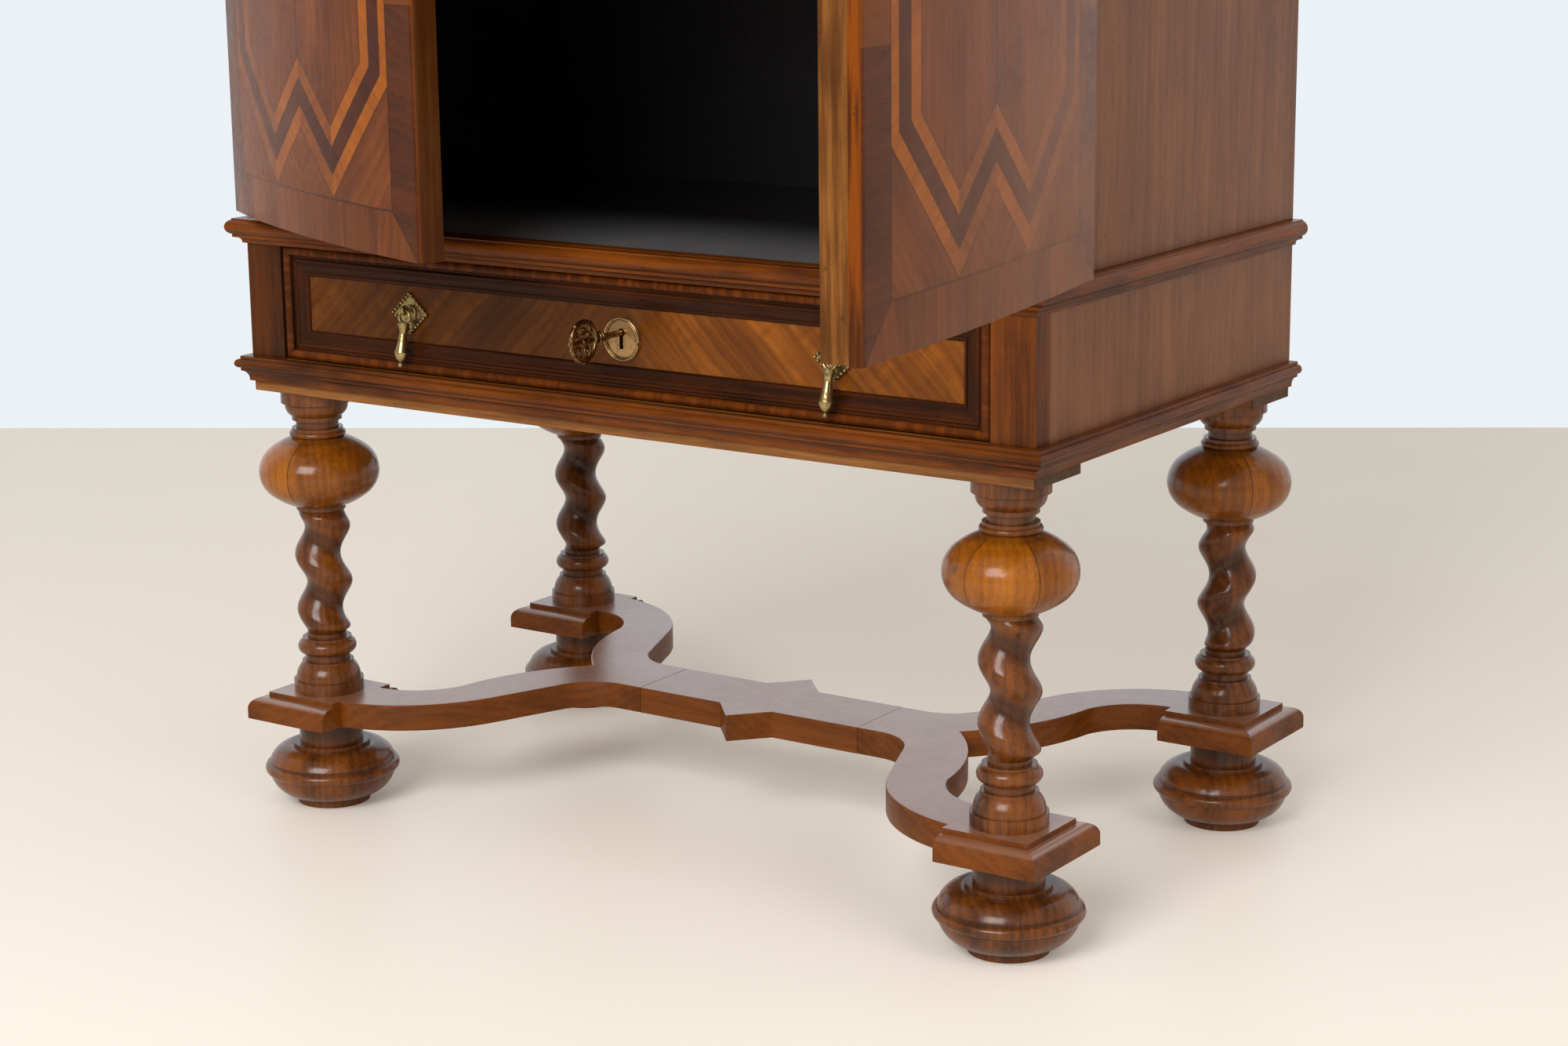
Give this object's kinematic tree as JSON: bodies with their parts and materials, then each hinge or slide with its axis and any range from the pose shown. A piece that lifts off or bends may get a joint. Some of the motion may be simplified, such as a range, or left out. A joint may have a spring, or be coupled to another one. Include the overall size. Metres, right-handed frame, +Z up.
{
  "type": "cabinet on stand",
  "caption": "Walnut cabinet with veneered doors above a drawer with drop handles and a key, on a stand with barley-twist legs, a forked flat stretcher and bun feet.",
  "frame": {"origin": "on the floor, midway between the four legs", "axes": "+X to the right along the front, +Y to the back, +Z up; the doors face -Y and stand open"},
  "size_m": [0.8763, 0.7887, 1.317],
  "materials": {
    "turned_walnut": "glossy French polish",
    "stretcher_walnut": "glossy French polish",
    "walnut_moulding": "glossy French polish",
    "walnut_case": "satin polish",
    "walnut_veneer": "polished veneer",
    "plain_oak": "bare wood",
    "dark_lining": "black satin stain",
    "aged_brass": "aged, dull",
    "lock_iron": "dark, worn"
  },
  "bodies": {
    "stand_and_case": {"leg_front_left": "turned_walnut", "leg_front_right": "turned_walnut", "leg_rear_left": "turned_walnut", "leg_rear_right": "turned_walnut", "foot_front_left": "turned_walnut", "foot_front_right": "turned_walnut", "foot_rear_left": "turned_walnut", "foot_rear_right": "turned_walnut", "plinth_front_left": "stretcher_walnut", "plinth_front_right": "stretcher_walnut", "plinth_rear_left": "stretcher_walnut", "plinth_rear_right": "stretcher_walnut", "stretcher_centre": "stretcher_walnut", "stretcher_left": "stretcher_walnut", "stretcher_right": "stretcher_walnut", "lower_moulding_front": "walnut_moulding", "lower_moulding_right": "walnut_moulding", "lower_moulding_left": "walnut_moulding", "waist_moulding_front": "walnut_moulding", "waist_moulding_right": "walnut_moulding", "waist_moulding_left": "walnut_moulding", "cornice_front": "walnut_moulding", "cornice_right": "walnut_moulding", "cornice_left": "walnut_moulding", "case_stile_left": "walnut_moulding", "case_stile_right": "walnut_moulding", "cupboard_frieze": "walnut_moulding", "case_side_left": "walnut_case", "case_side_right": "walnut_case", "cupboard_side_left": "walnut_case", "cupboard_side_right": "walnut_case", "leg_rail_front": "plain_oak", "leg_rail_rear": "plain_oak", "case_bottom": "plain_oak", "case_back": "plain_oak", "drawer_guide_left": "plain_oak", "drawer_guide_right": "plain_oak", "cupboard_back": "plain_oak", "cupboard_top": "plain_oak", "cupboard_floor": "dark_lining", "cupboard_shelf": "dark_lining", "cupboard_hinges": "aged_brass"},
    "left_door": {"left_door": "walnut_veneer", "left_door_hinges": "aged_brass"},
    "right_door": {"right_door": "walnut_veneer", "right_door_hinges": "aged_brass"},
    "drawer": {"drawer_front": "walnut_veneer", "drawer_frame": "walnut_moulding", "drawer_side_left": "plain_oak", "drawer_side_right": "plain_oak", "drawer_back": "plain_oak", "drawer_bottom": "plain_oak", "handle_plates": "aged_brass", "handle_eyes": "aged_brass", "escutcheon": "aged_brass", "lock_case": "lock_iron"},
    "drop_left": {"handle_drop_left": "aged_brass"},
    "drop_right": {"handle_drop_right": "aged_brass"},
    "key": {"drawer_key": "lock_iron"},
    "bolt": {"lock_bolt": "lock_iron"}
  },
  "joints": [
    {"name": "left_door_hinge", "type": "hinge", "parent": "stand_and_case", "child": "left_door", "pos_m": [-0.371, -0.1888, 0.8675], "axis": [0, 0, -1], "range_deg": [-25.4, 149.6]},
    {"name": "right_door_hinge", "type": "hinge", "parent": "stand_and_case", "child": "right_door", "pos_m": [0.371, -0.1888, 0.8675], "axis": [0, 0, 1], "range_deg": [-98, 77]},
    {"name": "drawer_slide", "type": "slide", "parent": "stand_and_case", "child": "drawer", "axis": [0, -1, 0], "range_m": [0, 0.25]},
    {"name": "left_drop_swing", "type": "hinge", "parent": "drawer", "child": "drop_left", "pos_m": [-0.2, -0.2075, 0.433], "axis": [-1, 0, 0], "range_deg": [0, 75]},
    {"name": "right_drop_swing", "type": "hinge", "parent": "drawer", "child": "drop_right", "pos_m": [0.2, -0.2075, 0.433], "axis": [-1, 0, 0], "range_deg": [0, 75]},
    {"name": "key_turn", "type": "hinge", "parent": "drawer", "child": "key", "pos_m": [0.0085, -0.2, 0.432], "axis": [0, 1, 0], "range_deg": [0, 180]},
    {"name": "bolt_slide", "type": "slide", "parent": "drawer", "child": "bolt", "axis": [0, 0, 1], "range_m": [0, 0.007]}
  ],
  "couplings": [
    {"joint": "key_turn", "follows": "bolt_slide", "rad_per_m": 448.79}
  ]
}
